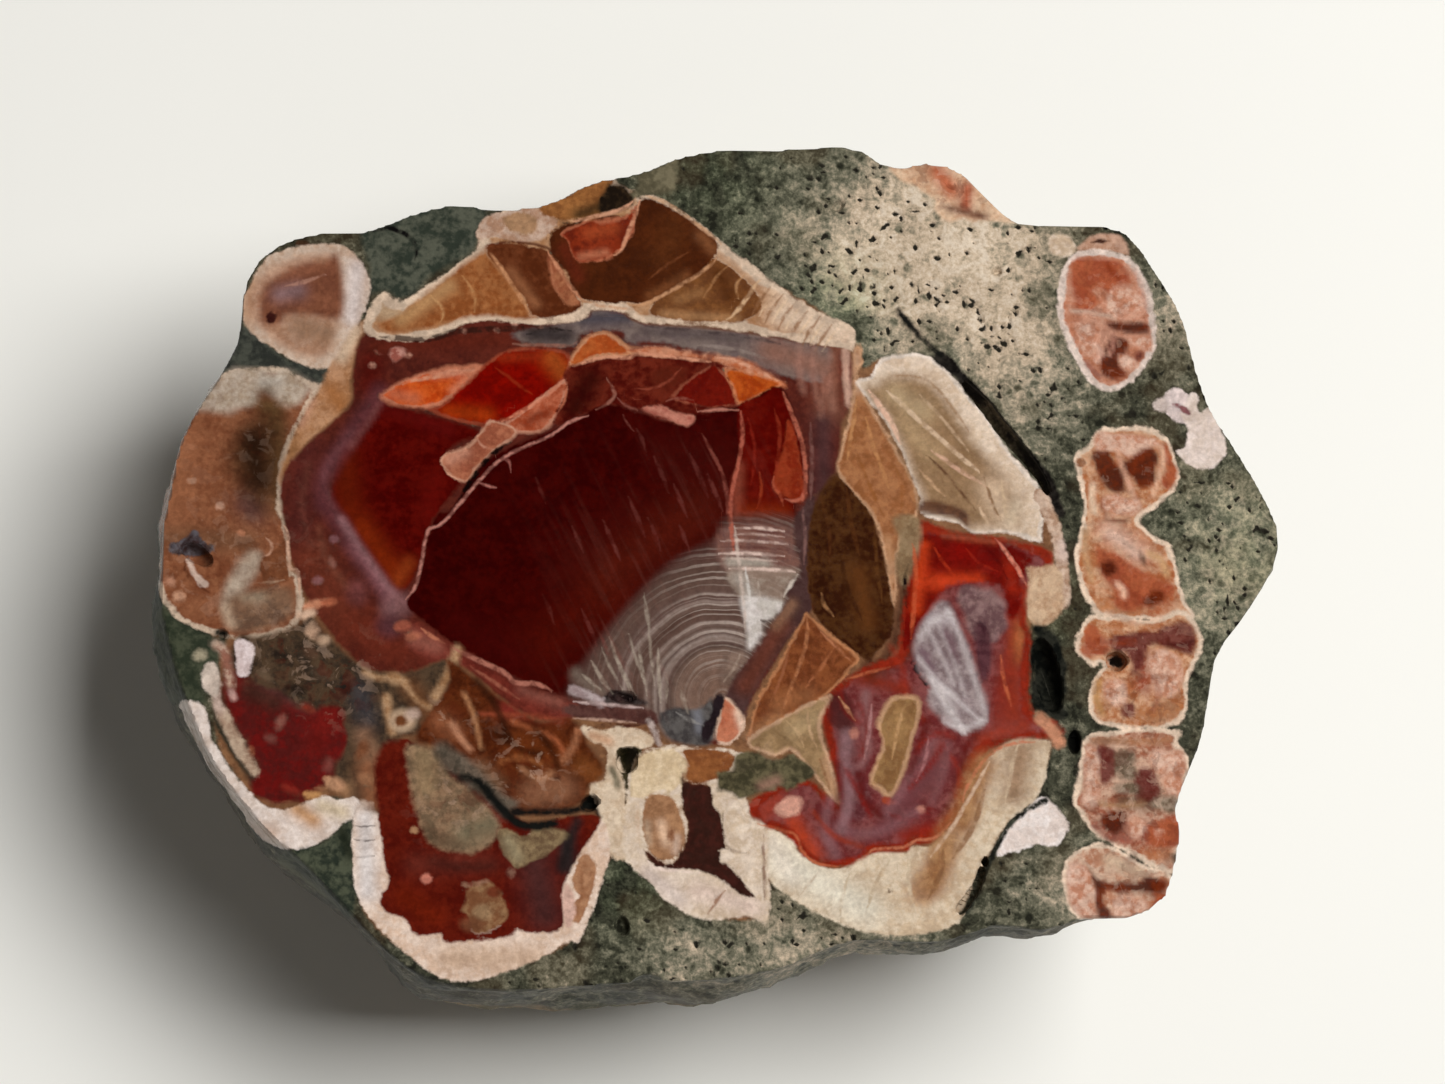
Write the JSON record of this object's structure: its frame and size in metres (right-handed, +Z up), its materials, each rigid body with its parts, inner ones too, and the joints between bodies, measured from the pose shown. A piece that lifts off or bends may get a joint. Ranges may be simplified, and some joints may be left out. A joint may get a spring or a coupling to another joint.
{
  "type": "half agate nodule",
  "caption": "Half nodule of grey-green volcanic rock with red, brown and cream agate fillings, cut flat and polished on top, rough and rounded below.",
  "frame": {"origin": "under the middle of the stone, on the surface that it rests on", "axes": "+X along the cut face's length, +Y towards its far side, +Z up, square to the cut face"},
  "size_m": [0.0808, 0.0628, 0.028],
  "materials": {
    "agate_stone": "polished cut face, matt rough rind"
  },
  "bodies": {
    "root": {"agate_nodule": "agate_stone"}
  },
  "joints": []
}
